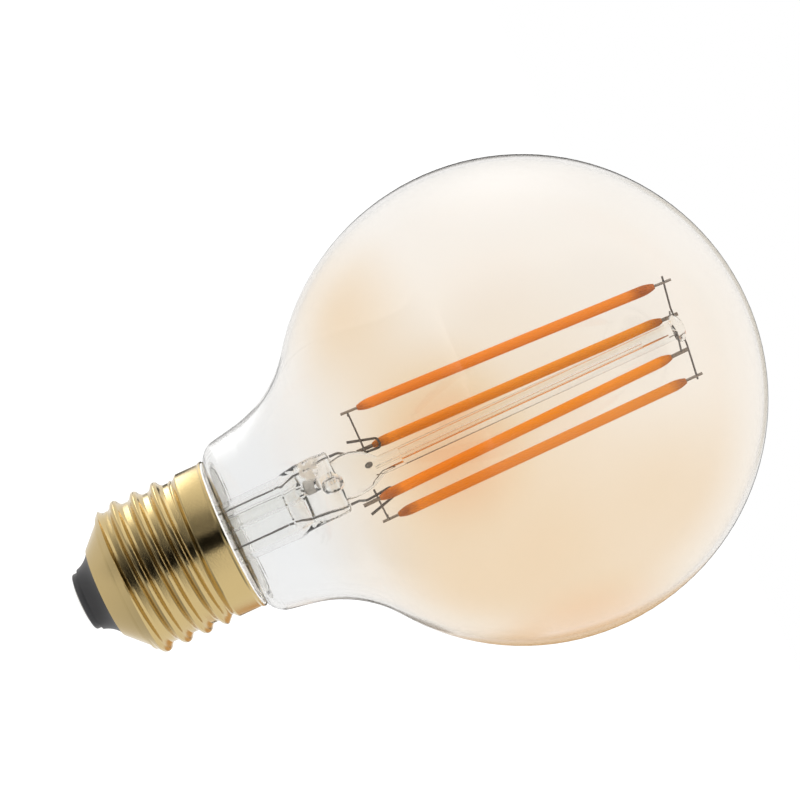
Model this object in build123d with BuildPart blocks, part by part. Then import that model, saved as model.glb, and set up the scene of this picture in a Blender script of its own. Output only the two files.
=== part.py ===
# LED filament bulb: a glass globe on a screw cap, with four light strips on a glass stem.
# Millimetres. Z is the axis, the cap is below and the end of its contact is at the origin.
import os
from math import cos, radians, sin, sqrt, tan

from build123d import *

# Glass envelope
globe_diameter = 80.0
neck_length = 12.0  # from the rim of the cap to the bottom of the round globe
glass_wall = 0.8
neck_taper_radius = 14.85  # neck at its shoulder, before rounding
neck_taper_height = 1.7  # the same corner above the rim of the cap
neck_taper_angle = 10.5
neck_shoulder_round = 3.6
neck_globe_round = 20.0
neck_insert = 7.0  # length of neck inside the cap
neck_end_gap = 0.45  # between the thread's wall and the sealed end of the neck
cement_width = 0.4  # between the skirt and the neck, at the rim

# Screw cap
cap_length = 27.2
sheet = 0.3
thread_pitch = 3.629
thread_root_radius = 12.0
thread_depth = 1.1
thread_crest_round = 0.7
thread_crest_height = 15.4  # a crest above the contact, on the +X side
thread_turns_below = 2.6  # turns rolled below that crest, before they fade
thread_turns_above = 2.6
thread_valley = 0.4  # plain bottom between two ridges
thread_bury = 0.08  # how far the foot of a ridge sinks into the wall
thread_fade_margin = 0.4  # how far a ridge stands out along the shoulder
thread_fade_length = 2.4
skirt_inset = 0.35  # skirt within the crests of the thread
skirt_length = 4.6
skirt_step = 0.8
step_round = 0.4
lip_stand = 0.2
lip_height = 0.6
lip_round = 0.1
collar_radius = 7.8  # lower opening of the shell
collar_height = 4.2
shoulder_angle = 45.0
shoulder_round = 4.0

# Insulator and contact
boss_radius = 4.9
boss_height = 1.15
boss_round = 0.4
cone_foot_radius = 5.35
cone_hollow = 0.35  # how far the cone curves in
contact_radius = 3.7
contact_proud = 0.25
contact_thickness = 0.6
contact_round = 0.15
shank_radius = 0.9
shank_length = 5.9
insulator_gap = 1.1  # between the thread's wall and the insulator
insulator_floor_height = 6.0
insulator_floor_radius = 7.0
insulator_rim_length = 1.3  # straight wall above the cone
insulator_rim_wall = 1.3

# Cement between neck and skirt
cement_height = 3.0
cement_drop = 0.9  # top of the cement below the rim

# Glass stem
flare_radius = 5.3
flare_wall = 1.0
flare_round = 4.0
press_drop = 6.6  # top of the press below the feet of the strips
press_length = 5.0
press_blend = 4.0  # length over which the round tube flattens
press_width = 10.8
press_thickness = 4.0
press_shift = -0.5  # the press was pinched a little off the axis
press_round = 0.5
dome_width = 6.8
dome_waist_rise = 4.2
dome_length = 7.2
rod_radius = 1.6
hollow_depth = 2.6
hollow_end_width = 8.0
hollow_end_thickness = 2.0
exhaust_radius = 1.5
exhaust_bore = 0.95
exhaust_shift = -1.5
exhaust_tail = 6.2  # exhaust tube below the end of the neck
exhaust_bore_drop = 2.2  # end of its bore below the top of the press
port_radius = 1.1
port_angle = 40.0
button_radius = 2.35
button_thickness = 2.4
button_rise = 1.75  # middle of the button above the heads of the strips

# Light strips
cage_foot_radius = 10.2
cage_head_radius = 8.6
weld_scatter = 1.0
# Each strip is welded by hand and stands its own way. In shares of the scatter: how far out its
# foot is, how far out its head is and how far it is lifted. Then the angles of its foot and head.
strip_stands = (
    (-0.6, 0.3, -0.4, 26.5, 20.0),
    (-0.2, -0.1, 0.1, 110.9, 105.3),
    (0.6, -0.2, 1.3, 201.3, 203.0),
    (0.2, 0.0, -1.0, 297.2, 296.0),
)
coat_radius = 0.88
coat_tip_radius = 0.42
coat_taper = 2.4
coat_overlap = 3.0  # coat beyond each end of the base
base_length = 46.0
base_width = 0.9
base_thickness = 0.4
chip_count = 26
chip_length = 1.1
chip_width = 0.5
chip_thickness = 0.15
pin_width = 0.6
pin_thickness = 0.25
pin_reach = 2.9
weld_reach = 1.8  # wire along the pin, from the end of the coat

# Wires
lead_radius = 0.32
outer_lead_radius = 0.25
cross_wire_radius = 0.24
top_wire_radius = 0.22
seal_drop = 1.2  # foot of the seal wires below the press
lead_spacing = 6.4
lead_shift = -0.6
lead_exit_spacing = 8.6
lead_rise = 1.5
hook_foot_drop = 3.0  # below the feet of the strips
hook_top_rise = 1.4
hook_side_shift = 0.4
hook_width = 1.7
hook_round = 0.65
hook_tail_spread = 3.2
hook_tail_drop = 5.0
cross_weld_drop = 1.4
top_wire_spacing = 0.8
top_wire_knee = 3.4
wire_stub = 0.9
wire_bend = 1.2
tight_bend = 0.6

# Driver in the cap
board_width = 11.5
board_height = 12.0
board_thickness = 1.0
board_setback = 2.5  # front of the board behind the axis
capacitor_radius = 3.1
capacitor_length = 8.6
capacitor_round = 0.4
capacitor_shift = -2.7
capacitor_lift = 3.2
capacitor_lead_radius = 0.3
capacitor_lead_spacing = 2.5
rectifier_size = (4.4, 3.6, 2.3)
rectifier_lift = 9.0
driver_chip_size = (4.4, 3.6, 1.5)
driver_chip_lift = 3.6
package_shift = 3.3
package_bevel = 0.3
terminal_size = (0.5, 0.6, 0.3)
terminal_pitch = 1.27
resistor_radius = 1.0
resistor_length = 5.0
resistor_round = 0.3
resistor_shift = 4.5
resistor_lift = 6.2
resistor_lead_radius = 0.3
resistor_lead_reach = 1.2
hookup_wire_radius = 0.5
live_wire_lift = 2.6
return_wire_lift = 1.2  # above the rim of the insulator
return_wire_shift = -4.4
outer_lead_overlap = 1.4  # lead along the board

# Clearances
seat_gap = 0.05
weld_gap = 0.03
seal_gap = 0.1

# Levels and radii that follow from the sizes above
globe_radius = globe_diameter / 2
rim_height = cap_length
globe_centre = rim_height + neck_length + globe_radius
neck_end_height = rim_height - neck_insert
skirt_foot_height = rim_height - skirt_length
thread_crest_radius = thread_root_radius + thread_depth
shell_bore = thread_root_radius - sheet
skirt_radius = thread_crest_radius - skirt_inset
skirt_bore = skirt_radius - sheet
lip_radius = skirt_radius + lip_stand
neck_end_radius = shell_bore - neck_end_gap
neck_seat_radius = skirt_bore - cement_width
insulator_radius = shell_bore - insulator_gap
boss_top_height = contact_proud + boss_height
board_foot = insulator_floor_height
board_back = board_setback + board_thickness
coat_length = base_length + 2 * coat_overlap
strip_foot_height = globe_centre - coat_length / 2
strip_head_height = globe_centre + coat_length / 2
button_height = strip_head_height + button_rise
press_top_height = strip_foot_height - press_drop
press_low_height = press_top_height - press_length
press_foot_height = press_low_height - press_blend
seal_foot_height = press_foot_height - seal_drop


def polar(radius, angle, height):
    return Vector(radius * cos(radians(angle)), radius * sin(radians(angle)), height)


def write(part, name):
    part.label = name
    export_step(part, f"parts/{name}.step")


def round_wire(points, radius, bends):
    with BuildPart() as wire:
        with BuildLine() as route:
            if len(points) > 2:
                FilletPolyline(*points, radius=bends)
            else:
                Line(*points)
        with BuildSketch(Plane(origin=route.line @ 0, z_dir=route.line % 0)):
            Circle(radius)
        sweep(path=route.line)
    return wire.part


os.makedirs("parts", exist_ok=True)

# Glass envelope: one blown wall, from the sealed end in the cap to the top of the globe
taper_foot = (neck_taper_radius, rim_height + neck_taper_height)
taper_rise = globe_centre - rim_height - neck_taper_height
taper_head = (neck_taper_radius + taper_rise * tan(radians(neck_taper_angle)), globe_centre)
with BuildPart() as glass_envelope:
    with BuildSketch(Plane.XZ) as globe_section:
        with Locations((0, globe_centre)):
            Circle(globe_radius)
        with BuildLine():
            Polyline(
                (0, neck_end_height),
                (neck_end_radius, neck_end_height),
                (neck_seat_radius, rim_height),
                taper_foot,
                taper_head,
                (0, globe_centre),
                close=True,
            )
        make_face()
        with Locations((-globe_radius, globe_centre)):
            Rectangle(globe_diameter, 2 * globe_centre, mode=Mode.SUBTRACT)
        shoulder = globe_section.vertices().sort_by_distance(taper_foot)[0]
        fillet(shoulder, neck_shoulder_round)
        above_taper = globe_section.vertices().filter_by_position(
            Axis.Y, taper_foot[1] + neck_shoulder_round, globe_centre
        )
        fillet(above_taper.sort_by(Axis.Y)[0], neck_globe_round)
    revolve(axis=Axis.Z)
    sealed_end = glass_envelope.faces().filter_by(Axis.Z).sort_by(Axis.Z)[0]
    offset(amount=-glass_wall, openings=sealed_end)
write(glass_envelope.part, "glass_envelope")

# Thread of the screw shell: round crests between hollow flanks, right-handed.
# A crest and the flank beside it touch where their radii add up to round_sum.
ridge_depth = thread_crest_radius - thread_root_radius + thread_bury
round_sum = ((thread_pitch / 2) ** 2 + ridge_depth**2) / (2 * ridge_depth)
flank_round = round_sum - thread_crest_round
crest_centre = thread_crest_radius - thread_crest_round
flank_centre = thread_root_radius - thread_bury + flank_round
touch_share = thread_crest_round / round_sum
touch_radius = crest_centre + touch_share * (flank_centre - crest_centre)
touch_offset = touch_share * thread_pitch / 2
ridge_edge = (thread_pitch - thread_valley) / 2
thread_foot = thread_crest_height - thread_turns_below * thread_pitch
thread_end_height = skirt_foot_height - skirt_step
thread_rise = (thread_turns_below + thread_turns_above) * thread_pitch
thread_plane = Plane(origin=(0, 0, thread_foot), x_dir=(1, 0, 0), z_dir=(0, -1, 0))


def flank_radius(distance):
    # Radius of the hollow flank at a distance from the crest, along the axis
    return flank_centre - sqrt(flank_round**2 - (thread_pitch / 2 - distance) ** 2)


def fade_space(inset):
    # The space in which a ridge may stand out: it closes along the shoulder and below the skirt
    widest = 2 * thread_crest_radius - thread_root_radius
    foot_radius = collar_radius + thread_fade_margin - inset
    head = collar_height + (widest - foot_radius) / tan(radians(shoulder_angle))
    with BuildPart() as space:
        with BuildSketch(Plane.XZ):
            with BuildLine():
                Polyline(
                    (0, collar_height),
                    (foot_radius, collar_height),
                    (widest, head),
                    (widest, thread_end_height - thread_fade_length),
                    (shell_bore - inset, thread_end_height),
                    (0, thread_end_height),
                    close=True,
                )
            make_face()
        revolve(axis=Axis.Z)
    return space.part


with BuildPart() as thread_ridge:
    with BuildLine() as ridge_path:
        Helix(thread_pitch, thread_rise, thread_root_radius, center=(0, 0, thread_foot))
    with BuildSketch(thread_plane):
        with BuildLine():
            ThreePointArc(
                (touch_radius, -touch_offset), (thread_crest_radius, 0), (touch_radius, touch_offset)
            )
            flank_middle = (touch_offset + ridge_edge) / 2
            for side in (-1, 1):
                ThreePointArc(
                    (touch_radius, side * touch_offset),
                    (flank_radius(flank_middle), side * flank_middle),
                    (flank_radius(ridge_edge), side * ridge_edge),
                )
            Polyline(
                (flank_radius(ridge_edge), -ridge_edge),
                (thread_root_radius - sheet / 2, -ridge_edge),
                (thread_root_radius - sheet / 2, ridge_edge),
                (flank_radius(ridge_edge), ridge_edge),
            )
        make_face()
    sweep(path=ridge_path.line, is_frenet=True)
    add(fade_space(0), mode=Mode.INTERSECT)

# The same thread seen from inside: the groove that the rolling leaves behind each ridge
groove_edge = ridge_edge - sheet / 2
with BuildPart() as thread_groove:
    with BuildLine() as groove_path:
        Helix(thread_pitch, thread_rise, shell_bore, center=(0, 0, thread_foot))
    with BuildSketch(thread_plane):
        with BuildLine():
            Polyline(
                (shell_bore - sheet, -groove_edge),
                (thread_crest_radius - sheet, -sheet / 2),
                (thread_crest_radius - sheet, sheet / 2),
                (shell_bore - sheet, groove_edge),
                close=True,
            )
        make_face()
    sweep(path=groove_path.line, is_frenet=True)
    add(fade_space(2 * sheet), mode=Mode.INTERSECT)

# Screw shell: brass sheet with a conical collar, the rolled thread, a plain skirt and a lip
shoulder_head = collar_height + (thread_root_radius - collar_radius) / tan(radians(shoulder_angle))
with BuildPart() as screw_shell:
    with BuildSketch(Plane.XZ):
        with BuildLine():
            FilletPolyline(
                (collar_radius, collar_height),
                (thread_root_radius, shoulder_head),
                (thread_root_radius, thread_end_height),
                (skirt_radius, skirt_foot_height),
                (skirt_radius, rim_height - lip_height),
                (lip_radius, rim_height - lip_height / 2),
                (lip_radius, rim_height),
                radius=(shoulder_round, step_round, step_round, lip_round, lip_round),
            )
            offset(amount=sheet, side=Side.LEFT, closed=True)
        make_face()
    revolve(axis=Axis.Z)
    add(thread_ridge.part)
    add(thread_groove.part, mode=Mode.SUBTRACT)
write(screw_shell.part, "screw_shell")

# Insulator: black moulding that fills the collar, with a boss for the contact and a cup inside
sheet_across = sheet * cos(radians(shoulder_angle))
collar_bore = collar_radius - sheet_across - seat_gap
collar_seat = collar_height + sheet * sin(radians(shoulder_angle)) + seat_gap
cone_end = collar_seat + (insulator_radius - collar_bore) / tan(radians(shoulder_angle))
insulator_rim_height = cone_end + insulator_rim_length
with BuildPart() as cap_insulator:
    with BuildSketch(Plane.XZ) as insulator_section:
        with BuildLine():
            SagittaArc(
                (cone_foot_radius, boss_top_height), (collar_bore, collar_height), cone_hollow
            )
            Polyline(
                (collar_bore, collar_height),
                (collar_bore, collar_seat),
                (insulator_radius, cone_end),
                (insulator_radius, insulator_rim_height),
                (insulator_radius - insulator_rim_wall, insulator_rim_height),
                (insulator_radius - insulator_rim_wall, cone_end),
                (insulator_floor_radius, insulator_floor_height),
                (shank_radius + seat_gap, insulator_floor_height),
                (shank_radius + seat_gap, contact_thickness),
                (contact_radius + seat_gap, contact_thickness),
                (contact_radius + seat_gap, contact_proud),
                (boss_radius, contact_proud),
                (boss_radius, boss_top_height),
                (cone_foot_radius, boss_top_height),
            )
        make_face()
        boss_edge = insulator_section.vertices().sort_by_distance((boss_radius, contact_proud))[0]
        fillet(boss_edge, boss_round)
    revolve(axis=Axis.Z)
write(cap_insulator.part, "cap_insulator")

# Centre contact: a nail with a wide flat head, driven through the insulator
with BuildPart() as centre_contact:
    Cylinder(contact_radius, contact_thickness, align=(Align.CENTER, Align.CENTER, Align.MIN))
    head_edge = centre_contact.edges().filter_by(GeomType.CIRCLE).sort_by(Axis.Z)[0]
    fillet(head_edge, contact_round)
    with BuildSketch(Plane.XY.offset(contact_thickness)):
        Circle(shank_radius)
    extrude(amount=shank_length)
write(centre_contact.part, "centre_contact")


def neck_radius(height):
    # Outside of the neck within the cap, which tapers to its sealed end
    share = (height - neck_end_height) / neck_insert
    return neck_end_radius + share * (neck_seat_radius - neck_end_radius)


# Cement: the ring that holds the neck in the skirt
cement_top = rim_height - cement_drop
cement_foot = cement_top - cement_height
with BuildPart() as cap_cement:
    with BuildSketch(Plane.XZ):
        with BuildLine():
            Polyline(
                (neck_radius(cement_foot) + seat_gap, cement_foot),
                (skirt_bore - seat_gap, cement_foot),
                (skirt_bore - seat_gap, cement_top),
                (neck_radius(cement_top) + seat_gap, cement_top),
                close=True,
            )
        make_face()
    revolve(axis=Axis.Z)
write(cap_cement.part, "cap_cement")


# Light strips: places of their feet and heads, on a cage that narrows upwards
def strip_foot(index):
    out, _, lift, angle, _ = strip_stands[index]
    return polar(cage_foot_radius + out * weld_scatter, angle, strip_foot_height + lift * weld_scatter)


def strip_along(index):
    _, out, lift, _, angle = strip_stands[index]
    end = polar(cage_head_radius + out * weld_scatter, angle, strip_head_height + lift * weld_scatter)
    return (end - strip_foot(index)).normalized()


def strip_head(index):
    return strip_foot(index) + strip_along(index) * coat_length


def strip_point(index, height):
    # Point of the strip's line at a height above the contact
    along = strip_along(index)
    return strip_foot(index) + along * ((height - strip_foot(index).Z) / along.Z)


def strip_out(index):
    # Level direction from the axis to the middle of the strip
    middle = strip_point(index, globe_centre)
    return Vector(middle.X, middle.Y, 0).normalized()


def strip_across(index):
    return Vector(0, 0, 1).cross(strip_out(index))


def cut_plane(index, distance):
    # Plane square to the strip, at a distance from its foot
    along = strip_along(index)
    return Plane(origin=strip_foot(index) + along * distance, x_dir=strip_across(index), z_dir=along)


chip_pitch = base_length / chip_count
pin_length = pin_reach + coat_overlap - weld_gap
for index in range(len(strip_stands)):
    name = f"strip_{index + 1}"
    foot = strip_foot(index)
    middle = cut_plane(index, coat_length / 2)
    along = middle.z_dir
    across = middle.x_dir
    outward = across.cross(along)
    with BuildPart() as strip_base:
        with BuildSketch(cut_plane(index, coat_overlap)):
            Rectangle(base_width, base_thickness)
        extrude(amount=base_length)
    write(strip_base.part, f"{name}_base")

    chip_seat = middle.origin + outward * base_thickness / 2
    with BuildPart() as strip_chips:
        with BuildSketch(Plane(origin=chip_seat, x_dir=across, z_dir=outward)):
            with GridLocations(chip_width, chip_pitch, 1, chip_count):
                Rectangle(chip_width, chip_length)
        extrude(amount=chip_thickness)
    write(strip_chips.part, f"{name}_chips")

    with BuildPart() as strip_pins:
        for start in (-pin_reach, coat_length - coat_overlap + weld_gap):
            with BuildSketch(cut_plane(index, start)):
                Rectangle(pin_width, pin_thickness)
            extrude(amount=pin_length)
    write(strip_pins.part, f"{name}_pins")

    with BuildPart() as strip_coat:
        with BuildSketch(Plane(origin=foot, x_dir=across, z_dir=outward)):
            with BuildLine():
                Polyline((coat_tip_radius, 0), (0, 0), (0, coat_length), (coat_tip_radius, coat_length))
                side_foot = (coat_radius, coat_taper)
                side_head = (coat_radius, coat_length - coat_taper)
                TangentArc(side_foot, (coat_tip_radius, 0), tangent=(0, -1))
                Line(side_foot, side_head)
                TangentArc(side_head, (coat_tip_radius, coat_length), tangent=(0, 1))
            make_face()
        revolve(axis=Axis(foot, along))
        with BuildSketch(cut_plane(index, -coat_taper)):
            Rectangle(pin_width + 2 * weld_gap, pin_thickness + 2 * weld_gap)
        extrude(amount=coat_length + 2 * coat_taper, mode=Mode.SUBTRACT)
        with BuildSketch(cut_plane(index, coat_overlap - weld_gap)):
            with Locations((0, -chip_thickness / 2)):
                Rectangle(base_width + 2 * weld_gap, base_thickness + chip_thickness + 2 * weld_gap)
        extrude(amount=base_length + 2 * weld_gap, mode=Mode.SUBTRACT)
    write(strip_coat.part, f"{name}_coat")

# Wires at the heads of the strips: each joins two opposite strips, through the button of the stem
head_wire_side = pin_width / 2 + top_wire_radius + weld_gap
head_wires = []
for index, level in ((0, 1), (1, -1)):
    knee_height = Vector(0, 0, button_height + level * top_wire_spacing / 2)
    aside = strip_across(index) * head_wire_side
    route = []
    for strip in (index, index + 2):
        out = strip_out(strip)
        weld = strip_point(strip, strip_head(strip).Z + weld_reach) + out * wire_stub + aside
        knee = knee_height + out * top_wire_knee + aside
        route += [weld, knee] if strip == index else [knee, weld]
    head_wires.append(route)
    write(round_wire(route, top_wire_radius, wire_bend), f"top_wire_{index + 1}")

# Wires at the feet, one set for each side: outer lead, seal wire, hooked inner lead and cross wire
seal_lines = []
for side, name, hook_strip, tied_strip in ((-1, "left", 1, 2), (1, "right", 3, 0)):
    lead_x = lead_shift + side * lead_spacing / 2
    exit_x = press_shift + side * lead_exit_spacing / 2
    seal_foot = Vector(lead_x, 0, seal_foot_height)
    seal_head = Vector(exit_x, 0, press_top_height - seat_gap)
    seal_lines.append((seal_foot, seal_head))
    write(round_wire((seal_foot, seal_head), outer_lead_radius, tight_bend), f"seal_wire_{name}")

    board_top = board_foot + board_height
    weld_y = board_setback - outer_lead_radius - weld_gap
    outer_route = (
        (lead_x, 0, seal_foot_height - weld_gap),
        (lead_x, 0, neck_end_height),
        (lead_x, weld_y, board_top),
        (lead_x, weld_y, board_top - outer_lead_overlap),
    )
    write(round_wire(outer_route, outer_lead_radius, tight_bend), f"outer_lead_{name}")

    hook_out = strip_out(hook_strip)
    hook_across = strip_across(hook_strip)
    hook_foot = strip_point(hook_strip, strip_foot_height - hook_foot_drop)
    hook_top = strip_point(hook_strip, strip_foot_height + hook_top_rise)
    foot_setback = pin_thickness / 2 + lead_radius + weld_gap
    top_setback = coat_radius + lead_radius + seal_gap
    leg_foot = hook_foot - hook_out * foot_setback - hook_across * hook_side_shift
    leg_top = hook_top - hook_out * top_setback - hook_across * hook_side_shift
    tail_top = leg_top + hook_across * hook_width
    tail_end = leg_top + hook_across * hook_tail_spread - Vector(0, 0, hook_tail_drop)
    lead_start = Vector(exit_x, 0, press_top_height + weld_gap)
    lead_knee = lead_start + Vector(0, 0, lead_rise)
    inner_route = (lead_start, lead_knee, leg_foot, leg_top, tail_top, tail_end)
    inner_bends = (lead_rise / 2, wire_bend, hook_round, hook_round)
    write(round_wire(inner_route, lead_radius, inner_bends), f"inner_lead_{name}")

    tied_across = strip_across(tied_strip)
    tied_setback = pin_thickness / 2 + cross_wire_radius + weld_gap
    tied_height = strip_foot(tied_strip).Z - weld_reach
    tied_weld = strip_point(tied_strip, tied_height) - strip_out(tied_strip) * tied_setback
    leg_share = (hook_foot_drop - cross_weld_drop) / (hook_foot_drop + hook_top_rise)
    leg_weld = leg_foot + (leg_top - leg_foot) * leg_share
    cross_line = (leg_weld - tied_weld + tied_across * wire_stub).normalized()
    inward = cross_line.cross(Vector(0, 0, 1)).normalized()
    inward = inward if inward.dot(leg_weld) < 0 else -inward
    leg_pass = leg_weld + inward * (lead_radius + cross_wire_radius + seat_gap)
    cross_route = (
        tied_weld + tied_across * wire_stub,
        tied_weld - tied_across * wire_stub,
        leg_pass + cross_line * wire_stub,
    )
    write(round_wire(cross_route, cross_wire_radius, tight_bend), f"cross_wire_{name}")

# Glass stem: flare tube, press, dome, rod, button and exhaust tube, melted into one piece
stem_rim_radius = neck_radius(neck_end_height) - glass_wall - seal_gap
flare_bore = flare_radius - flare_wall
flare_curve = min(flare_round, stem_rim_radius - flare_radius - seal_gap)
with BuildPart() as glass_stem:
    with BuildSketch(Plane.XZ) as flare_section:
        with BuildLine():
            Polyline(
                (flare_bore, press_foot_height),
                (flare_bore, neck_end_height),
                (stem_rim_radius, neck_end_height),
                (stem_rim_radius, neck_end_height + flare_wall),
                (flare_radius, neck_end_height + flare_wall),
                (flare_radius, press_foot_height),
                close=True,
            )
        make_face()
        corners = flare_section.vertices()
        fillet(corners.sort_by_distance((flare_bore, neck_end_height))[0], flare_curve + flare_wall)
        corners = flare_section.vertices()
        fillet(corners.sort_by_distance((flare_radius, neck_end_height + flare_wall))[0], flare_curve)
    revolve(axis=Axis.Z)

    with BuildSketch(Plane.XY.offset(press_foot_height)):
        Circle(flare_radius)
    for height in (press_low_height, press_top_height):
        with BuildSketch(Plane((press_shift, 0, height))):
            Ellipse(press_width / 2, press_thickness / 2)
    loft()
    press_edge = glass_stem.edges().group_by(Axis.Z)[-1]
    fillet(press_edge, press_round)

    rod_foot_height = press_top_height + dome_length
    for height in (press_top_height - press_round, press_top_height + dome_waist_rise):
        with BuildSketch(Plane((press_shift, 0, height))):
            Ellipse(dome_width / 2, press_thickness / 2 - press_round)
    with BuildSketch(Plane.XY.offset(rod_foot_height)):
        Circle(rod_radius)
    loft()
    with BuildSketch(Plane.XY.offset(rod_foot_height)):
        Circle(rod_radius)
    extrude(amount=button_height - rod_foot_height)
    with BuildSketch(Plane.XZ):
        with Locations((0, button_height)):
            Ellipse(button_radius, button_thickness / 2)
        with Locations((-button_radius, button_height)):
            Rectangle(2 * button_radius, 2 * button_thickness, mode=Mode.SUBTRACT)
    revolve(axis=Axis.Z)

    with BuildSketch(Plane.XY.offset(press_foot_height)):
        Circle(flare_bore)
    with BuildSketch(Plane((press_shift, 0, press_foot_height + hollow_depth))):
        Ellipse(hollow_end_width / 2, hollow_end_thickness / 2)
    loft(mode=Mode.SUBTRACT)

    exhaust_foot = Plane((exhaust_shift, 0, neck_end_height - exhaust_tail + exhaust_radius))
    exhaust_bore_end = press_top_height - exhaust_bore_drop
    with BuildSketch(exhaust_foot):
        Circle(exhaust_radius)
    extrude(amount=press_low_height - exhaust_foot.origin.Z)
    with Locations(exhaust_foot):
        Sphere(exhaust_radius)
    with BuildSketch(exhaust_foot):
        Circle(exhaust_bore)
    extrude(amount=exhaust_bore_end - exhaust_foot.origin.Z, mode=Mode.SUBTRACT)
    port_foot = (exhaust_shift, 0, exhaust_bore_end - exhaust_bore)
    port_line = (0, -sin(radians(port_angle)), cos(radians(port_angle)))
    with BuildSketch(Plane(origin=port_foot, z_dir=port_line)):
        Circle(port_radius)
    extrude(amount=press_thickness, mode=Mode.SUBTRACT)

    for start, end in seal_lines:
        with BuildSketch(Plane(origin=start, z_dir=end - start)):
            Circle(outer_lead_radius + weld_gap)
        extrude(amount=(end - start).length + press_round, mode=Mode.SUBTRACT)
    for route in head_wires:
        with BuildSketch(Plane(origin=route[1], z_dir=route[2] - route[1])):
            Circle(top_wire_radius + weld_gap)
        extrude(amount=(route[2] - route[1]).length, mode=Mode.SUBTRACT)
write(glass_stem.part, "glass_stem")

# Driver board: stands on the floor of the insulator, behind the exhaust tube
with BuildPart() as driver_board:
    with Locations((0, board_setback + board_thickness / 2, board_foot + board_height / 2)):
        Box(board_width, board_thickness, board_height)
write(driver_board.part, "driver_board")

# Smoothing capacitor: a can along the back of the board, with two leads bent into it
with BuildPart() as smoothing_capacitor:
    can_y = board_back + capacitor_radius + weld_gap
    can_foot = board_foot + capacitor_lift
    with BuildSketch(Plane((capacitor_shift, can_y, can_foot))):
        Circle(capacitor_radius)
    extrude(amount=capacitor_length)
    fillet(smoothing_capacitor.edges().filter_by(GeomType.CIRCLE), capacitor_round)
    for side in (-1, 1):
        lead_x = capacitor_shift + side * capacitor_lead_spacing / 2
        lead_z = can_foot - 2 * capacitor_lead_radius - seat_gap
        lead_route = (
            (lead_x, can_y, can_foot + capacitor_round),
            (lead_x, can_y, lead_z),
            (lead_x, board_back + weld_gap, lead_z),
        )
        add(round_wire(lead_route, capacitor_lead_radius, capacitor_lead_radius))
write(smoothing_capacitor.part, "smoothing_capacitor")


def chip_package(size, lift, terminal_count):
    # Moulded package flat on the back of the board, with a row of terminals on each long side
    width, height, thickness = size
    seat = (package_shift, board_back + weld_gap, board_foot + lift)
    face = Plane(origin=seat, x_dir=(1, 0, 0), z_dir=(0, 1, 0))
    with BuildPart() as package:
        with BuildSketch(face):
            Rectangle(width, height - 2 * terminal_size[1])
        extrude(amount=thickness)
        chamfer(package.faces().sort_by(Axis.Y)[-1].edges(), package_bevel)
        with BuildSketch(face):
            with GridLocations(terminal_pitch, height - terminal_size[1], terminal_count, 2):
                Rectangle(terminal_size[0], terminal_size[1])
        extrude(amount=terminal_size[2])
    return package.part


write(chip_package(rectifier_size, rectifier_lift, 2), "bridge_rectifier")
write(chip_package(driver_chip_size, driver_chip_lift, 3), "driver_chip")

# Fusible resistor: stands on the front of the board, with its leads bent back into it
with BuildPart() as fusible_resistor:
    body_y = board_setback - resistor_radius - weld_gap
    body_foot = board_foot + resistor_lift - resistor_length / 2
    with BuildSketch(Plane((resistor_shift, body_y, body_foot))):
        Circle(resistor_radius)
    extrude(amount=resistor_length)
    fillet(fusible_resistor.edges().filter_by(GeomType.CIRCLE), resistor_round)
    for start, end in ((body_foot, -1), (body_foot + resistor_length, 1)):
        tip_z = start + end * resistor_lead_reach
        lead_route = (
            (resistor_shift, body_y, start - end * resistor_round),
            (resistor_shift, body_y, tip_z),
            (resistor_shift, board_setback - weld_gap, tip_z),
        )
        add(round_wire(lead_route, resistor_lead_radius, resistor_lead_radius))
write(fusible_resistor.part, "fusible_resistor")

# Hook-up wires: from the contact's shank to the board, and from the board to the wall of the shell
shank_top = contact_thickness + shank_length
live_z = board_foot + live_wire_lift
live_route = ((0, 0, shank_top + weld_gap), (0, 0, live_z), (0, board_setback - weld_gap, live_z))
write(round_wire(live_route, hookup_wire_radius, hookup_wire_radius), "live_wire")
return_z = insulator_rim_height + return_wire_lift
return_y = board_setback - 2 * hookup_wire_radius
return_end = sqrt((shell_bore - seat_gap) ** 2 - (return_y + hookup_wire_radius) ** 2)
return_route = (
    (return_wire_shift, board_setback - weld_gap, return_z),
    (return_wire_shift, return_y, return_z),
    (-return_end, return_y, return_z),
)
write(round_wire(return_route, hookup_wire_radius, hookup_wire_radius), "return_wire")
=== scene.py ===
import math

import bpy
from mathutils import Matrix, Vector


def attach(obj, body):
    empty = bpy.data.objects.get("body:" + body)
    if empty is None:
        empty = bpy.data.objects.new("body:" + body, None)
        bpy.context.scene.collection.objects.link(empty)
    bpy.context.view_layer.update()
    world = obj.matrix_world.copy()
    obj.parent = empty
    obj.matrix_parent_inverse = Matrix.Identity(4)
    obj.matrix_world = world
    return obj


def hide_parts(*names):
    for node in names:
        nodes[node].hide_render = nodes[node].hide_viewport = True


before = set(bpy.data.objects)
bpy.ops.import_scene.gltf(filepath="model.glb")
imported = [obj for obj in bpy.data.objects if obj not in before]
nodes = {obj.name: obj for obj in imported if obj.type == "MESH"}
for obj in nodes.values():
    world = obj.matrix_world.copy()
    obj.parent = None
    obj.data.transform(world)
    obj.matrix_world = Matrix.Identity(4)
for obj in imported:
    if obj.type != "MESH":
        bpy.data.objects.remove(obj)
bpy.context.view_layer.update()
bpy.ops.object.select_all(action="DESELECT")
scene = bpy.context.scene
scene.view_settings.view_transform = "Standard"
glassBounces = 40  # glass in glass needs many
scene.cycles.max_bounces = glassBounces
scene.cycles.transmission_bounces = glassBounces
scene.cycles.transparent_max_bounces = glassBounces
white = (1.0, 1.0, 1.0)
noiseMiddle = 0.5  # noise values lie about this one
weldGap = 1e-6  # a node's triangles share no corners until they are welded
print("frame loaded with", len(nodes), "nodes")


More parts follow.
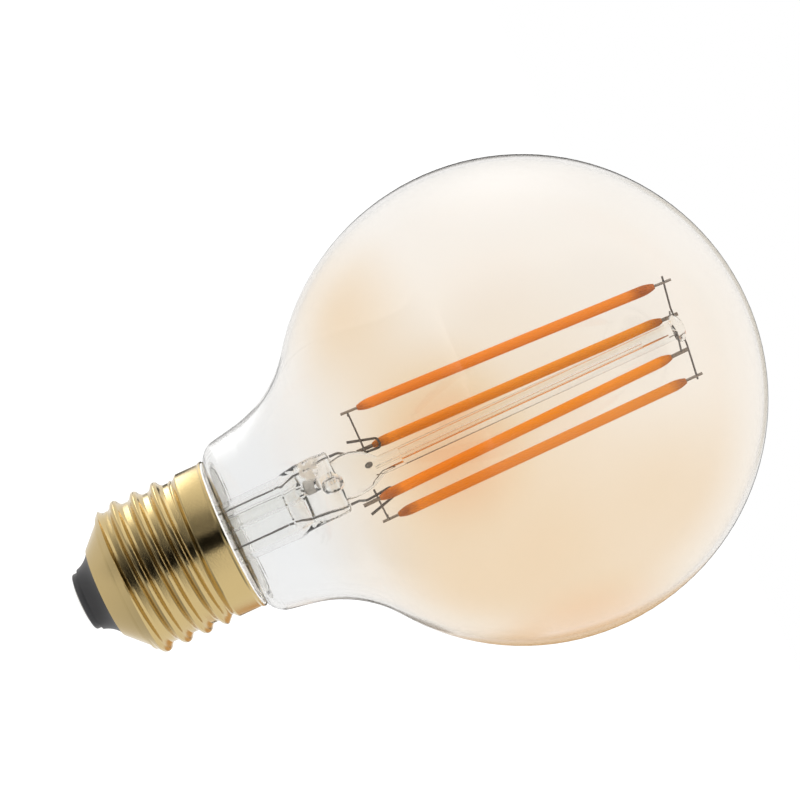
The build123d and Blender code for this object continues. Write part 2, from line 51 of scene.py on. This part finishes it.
# node helpers shared by the finishes
def opaque(colour):
    return (*colour, 1.0)


def newMaterial(name):
    material = bpy.data.materials.new(name)
    material.use_nodes = True
    tree = material.node_tree
    shader = tree.nodes["Principled BSDF"]
    return material, tree, shader


def addNode(tree, kind, **values):
    node = tree.nodes.new(kind)
    for key, value in values.items():
        setattr(node, key, value)
    return node


def objectPlace(tree):
    return addNode(tree, "ShaderNodeTexCoord").outputs["Object"]


def alongAxis(tree, axis):
    split = addNode(tree, "ShaderNodeSeparateXYZ")
    tree.links.new(objectPlace(tree), split.inputs[0])
    return split.outputs[axis]


def softStep(tree, value, low, high, bottom=0.0, top=1.0):
    step = addNode(tree, "ShaderNodeMapRange", interpolation_type="SMOOTHSTEP")
    step.inputs["From Min"].default_value = low
    step.inputs["From Max"].default_value = high
    step.inputs["To Min"].default_value = bottom
    step.inputs["To Max"].default_value = top
    tree.links.new(value, step.inputs["Value"])
    return step.outputs[0]


def sums(tree, kind, first, second):
    step = addNode(tree, "ShaderNodeMath", operation=kind)
    for socket, value in zip(step.inputs, (first, second)):
        if isinstance(value, float):
            socket.default_value = value
        else:
            tree.links.new(value, socket)
    return step.outputs[0]


def colourRamp(tree, value, colours):
    ramp = addNode(tree, "ShaderNodeValToRGB")
    tree.links.new(value, ramp.inputs[0])
    stops = ramp.color_ramp.elements
    while len(stops) < len(colours):
        stops.new(1.0)
    for stop, (place, colour) in zip(stops, colours):
        stop.position = place
        stop.color = opaque(colour)
    return ramp.outputs[0]


def noise(tree, scale, detail=2.0):
    field = addNode(tree, "ShaderNodeTexNoise")
    field.inputs["Scale"].default_value = scale
    field.inputs["Detail"].default_value = detail
    tree.links.new(objectPlace(tree), field.inputs["Vector"])
    return field.outputs[0]


def wander(tree, scale, share, detail=2.0):
    # noise about zero, times a share
    centred = sums(tree, "SUBTRACT", noise(tree, scale, detail), noiseMiddle)
    return sums(tree, "MULTIPLY", centred, share)


def nearPoint(tree, point, reach):
    # 1 at a point, 0 beyond its reach in x, y and z
    shift = addNode(tree, "ShaderNodeVectorMath", operation="SUBTRACT")
    shift.inputs[1].default_value = point
    tree.links.new(objectPlace(tree), shift.inputs[0])
    share = addNode(tree, "ShaderNodeVectorMath", operation="DIVIDE")
    share.inputs[1].default_value = reach
    tree.links.new(shift.outputs[0], share.inputs[0])
    far = addNode(tree, "ShaderNodeVectorMath", operation="LENGTH")
    tree.links.new(share.outputs[0], far.inputs[0])
    return softStep(tree, far.outputs["Value"], 1.0, 0.0)


def mixShaders(tree, share, first, second):
    mix = addNode(tree, "ShaderNodeMixShader")
    tree.links.new(share, mix.inputs[0])
    tree.links.new(first.outputs[0], mix.inputs[1])
    tree.links.new(second.outputs[0], mix.inputs[2])
    return mix


def showSurface(tree, shader):
    tree.links.new(shader.outputs[0], tree.nodes["Material Output"].inputs["Surface"])


def letLampsThrough(tree, shader):
    # lamps shine through thin glass instead of leaving it in its own shadow
    path = addNode(tree, "ShaderNodeLightPath")
    clear = addNode(tree, "ShaderNodeBsdfTransparent")
    showSurface(tree, mixShaders(tree, path.outputs["Is Shadow Ray"], shader, clear))


def plain(name, colour, roughness, metallic=0.0):
    material, _, shader = newMaterial(name)
    shader.inputs["Base Color"].default_value = opaque(colour)
    shader.inputs["Roughness"].default_value = roughness
    shader.inputs["Metallic"].default_value = metallic
    return material


def dress(material, *names):
    for name in names:
        mesh = nodes[name].data
        mesh.materials.clear()
        mesh.materials.append(material)


# copy of a node's mesh, welded and left open in edit mode
def openCopy(nodeName, pieceName):
    piece = bpy.data.objects.new(pieceName, nodes[nodeName].data.copy())
    scene.collection.objects.link(piece)
    bpy.ops.object.select_all(action="DESELECT")
    piece.select_set(True)
    bpy.context.view_layer.objects.active = piece
    bpy.ops.mesh.customdata_custom_splitnormals_clear()
    bpy.ops.object.mode_set(mode="EDIT")
    bpy.ops.mesh.select_all(action="SELECT")
    bpy.ops.mesh.remove_doubles(threshold=weldGap)
    bpy.ops.mesh.normals_make_consistent(inside=False)
    return piece


# new primitive, named, with its place and size in the mesh
def placePrimitive(pieceName, scale=(1.0, 1.0, 1.0)):
    piece = bpy.context.object
    piece.name = pieceName
    piece.scale = scale
    bpy.ops.object.transform_apply()
    return piece


def closePiece(piece, material, angle=35.0):
    bpy.ops.object.mode_set(mode="OBJECT")
    piece.data.materials.clear()
    piece.data.materials.append(material)
    bpy.ops.object.shade_smooth_by_angle(angle=math.radians(angle))
    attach(piece, "root")


# envelope glass: clear neck, amber film on the globe, uneven as dipped; paler towards -X and where seen edge
# on as painted highlight, deeper at the low +X edge as painted shade
envelope = {
    "neckLevel": 0.036,
    "amberLevel": 0.058,
    "paleHighlightSide": -0.042,
    "fullFilmSide": 0.025,
    "sideFilmAndHighlightShare": 0.62,
    "thinTopFrom": 0.068,
    "thinTopTo": 0.114,
    "thinTopShare": 0.35,
    "middle": (0.0, 0.0, 0.066),
    "middleReach": (0.021, 0.1, 0.018),
    "middleShare": 0.8,
    "foot": (-0.026, 0.0, 0.057),
    "footReach": (0.022, 0.1, 0.017),
    "footShare": 0.5,
    "cloud": (0.0233, 0.0, 0.0986),
    "cloudReach": (0.018, 0.1, 0.018),
    "cloudShare": 0.16,
    "edgeFrom": 0.4,
    "edgeTo": 0.72,
    "edgeHighlightShare": 0.15,
    # deeper amber patch on the low +X edge, a painted shade
    "shadedLowRim": (0.040, 0.0, 0.066),
    "shadedLowRimReach": (0.010, 0.1, 0.036),
    "shadedLowRimShare": 0.7,
    "unevenScale": 26.0,
    "unevenDetail": 1.0,
    "unevenShare": 0.22,
    "clear": (0.945, 0.955, 0.965),
    "palest": (0.995, 0.983, 0.968),
    "amber": (0.945, 0.84, 0.70),
    "amberFilm": 0.6,
    "deep": (0.95, 0.735, 0.55),
    "ior": 1.45,
    "absorbColour": (0.60, 0.45, 0.22),
    "absorbDensity": 50.0,
}


def addPatch(tree, film, patch):
    near = nearPoint(tree, envelope[patch], envelope[patch + "Reach"])
    return sums(tree, "ADD", film, sums(tree, "MULTIPLY", near, envelope[patch + "Share"]))


def makeFilm(tree, height):
    thinFrom, thinTo = envelope["thinTopFrom"], envelope["thinTopTo"]
    # the film fades out towards -X: partly an uneven film, partly a painted highlight on the lit side
    film = softStep(tree, alongAxis(tree, "X"), envelope["paleHighlightSide"], envelope["fullFilmSide"])
    thinTop = softStep(tree, height, thinFrom, thinTo, 1.0, envelope["thinTopShare"])
    film = sums(tree, "MULTIPLY", film, thinTop)
    film = sums(tree, "MULTIPLY", film, envelope["sideFilmAndHighlightShare"])
    for patch in ("middle", "foot", "cloud"):
        film = addPatch(tree, film, patch)
    facing = addNode(tree, "ShaderNodeLayerWeight").outputs["Facing"]  # film paler where the glass is seen edge on, a painted highlight
    edgeOnHighlight = softStep(tree, facing, envelope["edgeFrom"], envelope["edgeTo"], 1.0, envelope["edgeHighlightShare"])
    # the low +X edge patch adds painted shade
    film = addPatch(tree, sums(tree, "MULTIPLY", film, edgeOnHighlight), "shadedLowRim")
    uneven = wander(tree, envelope["unevenScale"], envelope["unevenShare"], envelope["unevenDetail"])
    return sums(tree, "ADD", film, uneven)


def makeAmberGlass():
    material, tree, shader = newMaterial("amberGlass")
    height = alongAxis(tree, "Z")
    shades = [(0.0, envelope["palest"]), (envelope["amberFilm"], envelope["amber"]), (1.0, envelope["deep"])]
    glass = addNode(tree, "ShaderNodeMix", data_type="RGBA")
    glass.inputs["A"].default_value = opaque(envelope["clear"])
    tree.links.new(colourRamp(tree, makeFilm(tree, height), shades), glass.inputs["B"])
    dipped = softStep(tree, height, envelope["neckLevel"], envelope["amberLevel"])
    tree.links.new(dipped, glass.inputs["Factor"])
    tree.links.new(glass.outputs["Result"], shader.inputs["Base Color"])
    shader.inputs["Transmission Weight"].default_value = 1.0
    shader.inputs["Roughness"].default_value = 0.0
    shader.inputs["IOR"].default_value = envelope["ior"]
    absorb = addNode(tree, "ShaderNodeVolumeAbsorption")
    absorb.inputs["Color"].default_value = opaque(envelope["absorbColour"])
    absorb.inputs["Density"].default_value = envelope["absorbDensity"]
    tree.links.new(absorb.outputs[0], tree.nodes["Material Output"].inputs["Volume"])
    letLampsThrough(tree, shader)
    return material


dress(makeAmberGlass(), "glass_envelope")

# stem: the node's shape with the centre rod drawn hollow, a blown port and a frosted side of the press
stem = {
    "colour": (0.97, 0.97, 0.96),
    "ior": 1.48,
    "boreRadius": 0.00125,
    "boreSides": 48,
    "boreFoot": 0.0575,
    "boreTaper": 0.0045,
    "boreTip": 0.15,
    "boreHead": 0.1052,
    "port": (-0.0004, -0.0002, 0.0458),
    "portRadius": 0.0015,
    "portSides": 40,
    "frost": (-0.0045, 0.0, 0.0434),
    "frostReach": (0.0032, 0.006, 0.003),
    "frostFull": 0.5,
    "frostScale": 1100.0,
    "frostGrainFrom": 0.38,
    "frostGrainTo": 0.58,
    "frostRoughness": 0.5,
    "frostColour": (0.68, 0.61, 0.52),
    "frostClear": 0.45,
}


def makeStemGlass():
    material, tree, shader = newMaterial("stemGlass")
    shader.inputs["IOR"].default_value = stem["ior"]
    patch = softStep(tree, nearPoint(tree, stem["frost"], stem["frostReach"]), 0.0, stem["frostFull"])
    grain = softStep(tree, noise(tree, stem["frostScale"]), stem["frostGrainFrom"], stem["frostGrainTo"])
    frosted = sums(tree, "MULTIPLY", patch, grain)
    rough = sums(tree, "MULTIPLY", frosted, stem["frostRoughness"])
    clearness = softStep(tree, frosted, 0.0, 1.0, 1.0, stem["frostClear"])
    tint = colourRamp(tree, frosted, [(0.0, stem["colour"]), (1.0, stem["frostColour"])])
    tree.links.new(rough, shader.inputs["Roughness"])
    tree.links.new(clearness, shader.inputs["Transmission Weight"])
    tree.links.new(tint, shader.inputs["Base Color"])
    letLampsThrough(tree, shader)
    return material


def makeStem():
    hollow = stem["boreHead"] - stem["boreFoot"]
    bpy.ops.object.select_all(action="DESELECT")
    bpy.ops.mesh.primitive_cylinder_add(
        vertices=stem["boreSides"],
        radius=stem["boreRadius"],
        depth=hollow,
        location=(0.0, 0.0, stem["boreFoot"] + hollow / 2),
    )
    bore = bpy.context.object
    for vertex in bore.data.vertices:
        vertex.select = vertex.co.z < 0.0
    bpy.ops.object.mode_set(mode="EDIT")
    bpy.ops.mesh.select_mode(type="FACE")
    bpy.ops.mesh.extrude_region_move(TRANSFORM_OT_translate={"value": (0.0, 0.0, -stem["boreTaper"])})
    bpy.ops.transform.resize(value=(stem["boreTip"], stem["boreTip"], 1.0))  # drawn out at the foot
    bpy.ops.object.mode_set(mode="OBJECT")
    bpy.ops.mesh.primitive_uv_sphere_add(
        segments=stem["portSides"],
        ring_count=stem["portSides"] // 2,
        radius=stem["portRadius"],
        location=stem["port"],
    )
    hollows = bpy.context.object
    bore.select_set(True)
    bpy.ops.object.join()
    bpy.ops.object.transform_apply()
    bpy.ops.object.mode_set(mode="EDIT")
    bpy.ops.mesh.select_all(action="SELECT")
    bpy.ops.mesh.flip_normals()  # hollows face away from the glass
    bpy.ops.object.mode_set(mode="OBJECT")
    piece = openCopy("glass_stem", "stemGlassBody")
    bpy.ops.object.mode_set(mode="OBJECT")
    hollows.select_set(True)
    bpy.ops.object.join()
    closePiece(piece, makeStemGlass())
    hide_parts("glass_stem")


makeStem()

# opaque grey plug at the sealed end of the exhaust tube in the press; its grey is painted shade for the
# hollow end seen through the glass
exhaustEnd = {
    "place": (-0.00166, 0.0, 0.0426),
    "radius": 0.00122,
    "length": 0.0029,
    "sides": 40,
    "round": 0.0004,
    "roundSteps": 4,
    # grey of the plug: painted shade
    "colour": (0.46, 0.44, 0.41),
    "roughness": 0.35,
    "clearness": 0.0,
}

# dark bead at the foot of the rod
footBead = {
    "place": (-0.0008, -0.0003, 0.0521),
    "size": (0.00048, 0.0005, 0.00068),
    "sides": 24,
    "colour": (0.17, 0.16, 0.15),
    "roughness": 0.3,
    "clearness": 0.2,
}


def greyGlass(name, facts):
    material = plain(name, facts["colour"], facts["roughness"])
    shader = material.node_tree.nodes["Principled BSDF"]
    shader.inputs["Transmission Weight"].default_value = facts["clearness"]
    shader.inputs["IOR"].default_value = stem["ior"]
    return material


def makeExhaustEnd():
    bpy.ops.object.select_all(action="DESELECT")
    bpy.ops.mesh.primitive_cylinder_add(
        vertices=exhaustEnd["sides"],
        radius=exhaustEnd["radius"],
        depth=exhaustEnd["length"],
        location=exhaustEnd["place"],
    )
    piece = placePrimitive("exhaustEnd")
    bpy.ops.object.modifier_add(type="BEVEL")
    bevel = piece.modifiers[-1]
    bevel.width = exhaustEnd["round"]
    bevel.segments = exhaustEnd["roundSteps"]
    bpy.ops.object.modifier_apply(modifier=bevel.name)
    closePiece(piece, greyGlass("sealedTubePaintedShade", exhaustEnd))


def makeFootBead():
    bpy.ops.object.select_all(action="DESELECT")
    bpy.ops.mesh.primitive_uv_sphere_add(
        segments=footBead["sides"], ring_count=footBead["sides"] // 2, radius=1.0, location=footBead["place"]
    )
    piece = placePrimitive("footBead", footBead["size"])
    closePiece(piece, greyGlass("darkBead", footBead))


makeExhaustEnd()
makeFootBead()
print("glass made")

# rolled brass of the shell, with a fine grain
brass = {
    "colour": (0.62, 0.47, 0.22),
    "smooth": 0.13,
    "rough": 0.2,
    "grain": 4200.0,
    "grainDetail": 3.0,
    "grainFrom": 0.3,
    "grainTo": 0.7,
    "bump": 0.000006,
}


def makeBrass():
    material, tree, shader = newMaterial("rolledBrass")
    shader.inputs["Metallic"].default_value = 1.0
    shader.inputs["Base Color"].default_value = opaque(brass["colour"])
    grain = noise(tree, brass["grain"], brass["grainDetail"])
    rough = softStep(tree, grain, brass["grainFrom"], brass["grainTo"], brass["smooth"], brass["rough"])
    tree.links.new(rough, shader.inputs["Roughness"])
    bump = addNode(tree, "ShaderNodeBump")
    bump.inputs["Distance"].default_value = brass["bump"]
    tree.links.new(grain, bump.inputs["Height"])
    tree.links.new(bump.outputs[0], shader.inputs["Normal"])
    return material


dress(makeBrass(), "screw_shell")

# cement, with a bead of it squeezed up between the neck and the lip
cement = {
    "colour": (0.88, 0.875, 0.86),
    "roughness": 0.9,
    "beadRadius": 0.01246,
    "beadThickness": 0.00019,
    "beadStretch": 3.2,
    "beadLevel": 0.0268,
    "beadSides": 120,
    "beadRound": 12,
    "beadAngle": 60.0,
}


def makeCementBead(material):
    bpy.ops.object.select_all(action="DESELECT")
    bpy.ops.mesh.primitive_torus_add(
        major_segments=cement["beadSides"],
        minor_segments=cement["beadRound"],
        major_radius=cement["beadRadius"],
        minor_radius=cement["beadThickness"],
        location=(0.0, 0.0, cement["beadLevel"]),
    )
    piece = placePrimitive("cementBead", (1.0, 1.0, cement["beadStretch"]))
    closePiece(piece, material, cement["beadAngle"])


capCement = plain("capCement", cement["colour"], cement["roughness"])
dress(capCement, "cap_cement")
makeCementBead(capCement)

# bare wires, drawn finer than their nodes by an inset in metres
wires = {
    "colour": (0.13, 0.11, 0.095),
    "roughness": 0.4,
    "insets": {
        "outer_lead": 0.0001,
        "inner_lead": 0.00011,
        "cross_wire": 0.00009,
        "top_wire": 0.00007,
        "seal_wire": 0.00008,
    },
}


def makeWires():
    metal = plain("leadMetal", wires["colour"], wires["roughness"], 1.0)
    for name in sorted(nodes):
        kind = name.rpartition("_")[0]
        if kind in wires["insets"]:
            piece = openCopy(name, name + "Drawn")
            bpy.ops.transform.shrink_fatten(value=-wires["insets"][kind])
            closePiece(piece, metal)
            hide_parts(name)


makeWires()

# strip coats: orange body, browner ends, a hue of its own for each strip
coats = {
    "foot": 0.0532,
    "head": 0.1052,
    "endPart": 0.012,
    "endShade": (0.50, 0.42, 0.4),
    "mottleScale": 700.0,
    "mottleShare": 0.012,
    "roughness": 0.55,
    "gloss": 0.15,
    "hues": {
        "strip_1": (0.97, 0.325, 0.003),
        "strip_2": (0.96, 0.33, 0.015),
        "strip_3": (0.97, 0.285, 0.02),
        "strip_4": (0.97, 0.31, 0.006),
    },
}


def makeCoat(strip, body):
    material, tree, shader = newMaterial("phosphorCoat" + strip[-1])
    end = tuple(part * shade for part, shade in zip(body, coats["endShade"]))
    level = softStep(tree, alongAxis(tree, "Z"), coats["foot"], coats["head"])
    level = sums(tree, "ADD", level, wander(tree, coats["mottleScale"], coats["mottleShare"]))
    stops = [(0.0, end), (coats["endPart"], body), (1.0 - coats["endPart"], body), (1.0, end)]
    tree.links.new(colourRamp(tree, level, stops), shader.inputs["Base Color"])
    shader.inputs["Roughness"].default_value = coats["roughness"]
    shader.inputs["Specular IOR Level"].default_value = coats["gloss"]
    return material


for strip, hue in coats["hues"].items():
    dress(makeCoat(strip, hue), strip + "_coat")

# plain finishes: colour, roughness, metal share, and how the names of their nodes end
finishes = {
    "insulatorBlack": ((0.03, 0.029, 0.031), 0.38, 0.0, "cap_insulator"),
    "contactMetal": ((0.6, 0.58, 0.54), 0.3, 1.0, "centre_contact"),
    "pinMetal": ((0.28, 0.23, 0.19), 0.4, 1.0, "_pins"),
    "stripCeramic": ((0.7, 0.68, 0.62), 0.5, 0.0, "_base"),
    "diodeBlue": ((0.2, 0.3, 0.5), 0.3, 0.0, "_chips"),
    "boardGreen": ((0.03, 0.2, 0.06), 0.4, 0.0, "driver_board"),
    "canBlack": ((0.05, 0.05, 0.06), 0.4, 0.0, "smoothing_capacitor"),
    "packageBlack": ((0.03, 0.03, 0.03), 0.5, 0.0, ("bridge_rectifier", "driver_chip")),
    "resistorGrey": ((0.3, 0.35, 0.3), 0.5, 0.0, "fusible_resistor"),
    "wireRed": ((0.4, 0.03, 0.02), 0.5, 0.0, "live_wire"),
    "wireBlack": ((0.03, 0.03, 0.03), 0.5, 0.0, "return_wire"),
}

for finish, (colour, roughness, metallic, ending) in finishes.items():
    dress(plain(finish, colour, roughness, metallic), *[name for name in nodes if name.endswith(ending)])
print("finishes on")


# studio: pale floor, white backdrop, soft lamps
def seenDirectly(tree):
    # 1 for rays from the camera, a mirror image or through glass
    path = addNode(tree, "ShaderNodeLightPath").outputs
    mirrored = sums(tree, "MAXIMUM", path["Is Camera Ray"], path["Is Glossy Ray"])
    return sums(tree, "MAXIMUM", mirrored, path["Is Transmission Ray"])


studio = {
    "floorSize": 30.0,
    "floorLevel": -0.0003,
    "floorColour": (0.85, 0.85, 0.85),
    "floorRoughness": 0.9,
    "floorGlow": 0.9,
    "floorFaint": (0.35, 0.35, 0.35),
    "fill": 0.55,
}


def makeFloor():
    bpy.ops.mesh.primitive_plane_add(size=studio["floorSize"], location=(0.0, 0.0, studio["floorLevel"]))
    floor = placePrimitive("floor")
    material, tree, shader = newMaterial("paleFloor")
    shader.inputs["Base Color"].default_value = opaque(studio["floorColour"])
    shader.inputs["Roughness"].default_value = studio["floorRoughness"]
    glow = addNode(tree, "ShaderNodeEmission")
    glow.inputs["Strength"].default_value = studio["floorGlow"]
    faint = addNode(tree, "ShaderNodeBsdfDiffuse")
    faint.inputs["Color"].default_value = opaque(studio["floorFaint"])
    lit = addNode(tree, "ShaderNodeAddShader")
    tree.links.new(glow.outputs[0], lit.inputs[0])
    tree.links.new(faint.outputs[0], lit.inputs[1])
    mirrored = addNode(tree, "ShaderNodeEmission")  # plain white in mirror images and through glass
    path = addNode(tree, "ShaderNodeLightPath")
    direct = mixShaders(tree, path.outputs["Is Camera Ray"], mirrored, lit)
    showSurface(tree, mixShaders(tree, seenDirectly(tree), shader, direct))
    floor.data.materials.append(material)


def makeWorld():
    world = bpy.data.worlds.new("studio")
    scene.world = world
    world.use_nodes = True
    tree = world.node_tree
    back = tree.nodes["Background"]
    back.inputs["Color"].default_value = opaque(white)
    strength = addNode(tree, "ShaderNodeMapRange")
    strength.inputs["To Min"].default_value = studio["fill"]
    strength.inputs["To Max"].default_value = 1.0
    tree.links.new(seenDirectly(tree), strength.inputs["Value"])
    tree.links.new(strength.outputs[0], back.inputs["Strength"])


# soft lamps by place, size and power, all aimed at the bulb
lamps = {
    "aim": (0.0, 0.0, 0.06),
    "soft": {
        "keyLamp": ((-1.1, -0.7, 0.75), 1.3, 13.0),
        "sideLamp": ((1.2, -0.6, 0.5), 1.2, 4.0),
    },
}

# narrow lamps that reach the white cement through the neck: front, right, back and left
rimLamps = {
    "away": 0.33,
    "height": 0.13,
    "aimPast": 0.008,
    "aimHeight": 0.026,
    "powers": (3.6, 3.4, 6.0, 3.4),
    "cone": 6.0,
    "blend": 0.6,
    "size": 0.02,
}


def aimLamp(name, lamp, target, power):
    lamp.name = name
    lamp.data.energy = power
    lamp.visible_glossy = False
    lamp.visible_transmission = False
    lamp.rotation_euler = (target - lamp.location).to_track_quat("-Z", "Y").to_euler()


def addSoftLamps():
    for name, (place, size, power) in lamps["soft"].items():
        bpy.ops.object.light_add(type="AREA", location=place)
        lamp = bpy.context.object
        lamp.data.size = size
        aimLamp(name, lamp, Vector(lamps["aim"]), power)


def addRimLamps():
    up = Vector((0.0, 0.0, 1.0))
    for turn, power in enumerate(rimLamps["powers"]):
        angle = 2 * math.pi * turn / len(rimLamps["powers"])
        away = Vector((math.sin(angle), -math.cos(angle), 0.0))
        bpy.ops.object.light_add(type="SPOT", location=away * rimLamps["away"] + up * rimLamps["height"])
        lamp = bpy.context.object
        lamp.data.spot_size = math.radians(rimLamps["cone"])
        lamp.data.spot_blend = rimLamps["blend"]
        lamp.data.shadow_soft_size = rimLamps["size"]
        target = up * rimLamps["aimHeight"] - away * rimLamps["aimPast"]
        aimLamp("rimLamp" + str(turn), lamp, target, power)


# soft cards that only mirror images show
# place, what it faces, half width, half height, full part, brightness, and a colour where it isn't white
cards = {
    "backFlag": ((-0.02, 0.22, 0.093), (-0.02, 0.0, 0.093), 0.12, 0.075, 0.6, 0.02),
    "backLeft": ((-0.085, 0.17, 0.002), (-0.085, 0.17, 1.0), 0.045, 0.09, 0.5, 0.02),
    "backRight": ((0.064, 0.17, 0.002), (0.064, 0.17, 1.0), 0.022, 0.08, 0.5, 0.02),
    "frontShade": ((-0.11, -0.24, 0.10), (0.0, 0.0, 0.02), 0.23, 0.32, 0.3, 0.08),
    "frontFlag": ((-0.01, -0.24, 0.08), (0.0, 0.0, 0.02), 0.085, 0.3, 0.55, 0.01),
    "highShade": ((-0.06, -0.14, 0.28), (0.0, 0.0, 0.02), 0.2, 0.2, 0.3, 0.08),
    "floorShade": ((-0.05, -0.12, 0.001), (-0.05, -0.12, 1.0), 0.2, 0.15, 0.3, 0.15),
    "floorFlag": ((-0.01, -0.16, 0.002), (-0.01, -0.16, 1.0), 0.07, 0.14, 0.55, 0.01),
    "contactShade": ((0.03, -0.015, 0.0005), (0.03, -0.015, 1.0), 0.035, 0.03, 0.2, 0.45),
    "contactFlag": ((-0.006, -0.03, 0.0008), (-0.006, -0.03, 1.0), 0.01, 0.025, 0.3, 0.05),
    "floorKey": ((-0.13, 0.08, 0.002), (-0.13, 0.08, 1.0), 0.075, 0.12, 0.1, 5.5),
    "floorShield": ((-0.125, 0.075, 0.032), (-0.125, 0.075, 1.0), 0.105, 0.14, 0.98, 1.0),
    "keyCard": ((-0.23, 0.08, 0.15), (0.0, 0.0, 0.06), 0.16, 0.13, 0.0, 1.7),
    "warmEdge": ((0.105, 0.2, 0.054), (0.0, 0.0, 0.054), 0.085, 0.072, 0.5, 0.7, (1.0, 0.62, 0.28)),
    "warmFloor": ((0.14, 0.18, 0.003), (0.14, 0.18, 1.0), 0.10, 0.15, 0.0, 0.68, (1.0, 0.6, 0.25)),
    "topEdge": ((0.0, 0.2, 0.172), (0.0, 0.0, 0.1), 0.11, 0.035, 0.5, 0.62, (1.0, 0.92, 0.78)),
}
cardSides = 48


def addCard(name, place, target, halfWidth, halfHeight, fullPart, brightness, colour=white):
    bpy.ops.mesh.primitive_circle_add(vertices=cardSides, radius=1.0, fill_type="NGON", location=place)
    card = bpy.context.object
    card.name = name
    aim = Vector(target) - Vector(place)
    card.rotation_euler = aim.to_track_quat("Z", "Y").to_euler()
    card.scale = (halfWidth, halfHeight, 1.0)
    material, tree, shader = newMaterial(name)
    tree.nodes.remove(shader)
    reach = addNode(tree, "ShaderNodeVectorMath", operation="LENGTH")
    tree.links.new(objectPlace(tree), reach.inputs[0])
    fade = softStep(tree, reach.outputs["Value"], 1.0, fullPart)
    clear = addNode(tree, "ShaderNodeBsdfTransparent")
    glow = addNode(tree, "ShaderNodeEmission")
    glow.inputs["Strength"].default_value = brightness
    glow.inputs["Color"].default_value = opaque(colour)
    showSurface(tree, mixShaders(tree, fade, clear, glow))
    card.data.materials.append(material)
    card.visible_camera = False
    card.visible_diffuse = False
    card.visible_transmission = False
    card.visible_shadow = False


makeFloor()
makeWorld()
addSoftLamps()
addRimLamps()
for cardName, cardFacts in cards.items():
    addCard(cardName, *cardFacts)
print("studio set")

# camera where the photograph was taken from, aimed so that the globe falls on its pixel
view = {
    "centre": 0.0792,
    "distance": 0.8,
    "rise": 2.0,
    "roll": 24.8,
    "lens": 221.12,
    "focalPixels": 4913.85,
    "globePixel": (522.0, 400.0),
    "frameMiddle": 400.0,
    "nearest": 0.05,
    "farthest": 30.0,
}


def makeCamera():
    rise = math.radians(view["rise"])
    roll = math.radians(view["roll"])
    centre = Vector((0.0, 0.0, view["centre"]))
    back = Vector((0.0, -math.cos(rise), math.sin(rise)))
    up = Vector((0.0, 0.0, 1.0))
    upright = (up - back * up.dot(back)).normalized()
    side = Vector((1.0, 0.0, 0.0))
    right = upright * math.cos(roll) + side * math.sin(roll)
    top = upright * math.sin(roll) - side * math.cos(roll)
    aimRight = (view["globePixel"][0] - view["frameMiddle"]) / view["focalPixels"]
    aimUp = (view["frameMiddle"] - view["globePixel"][1]) / view["focalPixels"]
    forward = (-back - right * aimRight - top * aimUp).normalized()
    right = (right - forward * right.dot(forward)).normalized()
    top = right.cross(forward)
    bpy.ops.object.camera_add(location=centre + back * view["distance"])
    camera = bpy.context.object
    turn = Matrix((right, top, -forward)).transposed()
    camera.rotation_euler = turn.to_euler()
    camera.data.lens = view["lens"]
    camera.data.clip_start = view["nearest"]
    camera.data.clip_end = view["farthest"]
    scene.camera = camera


makeCamera()
print("camera set")
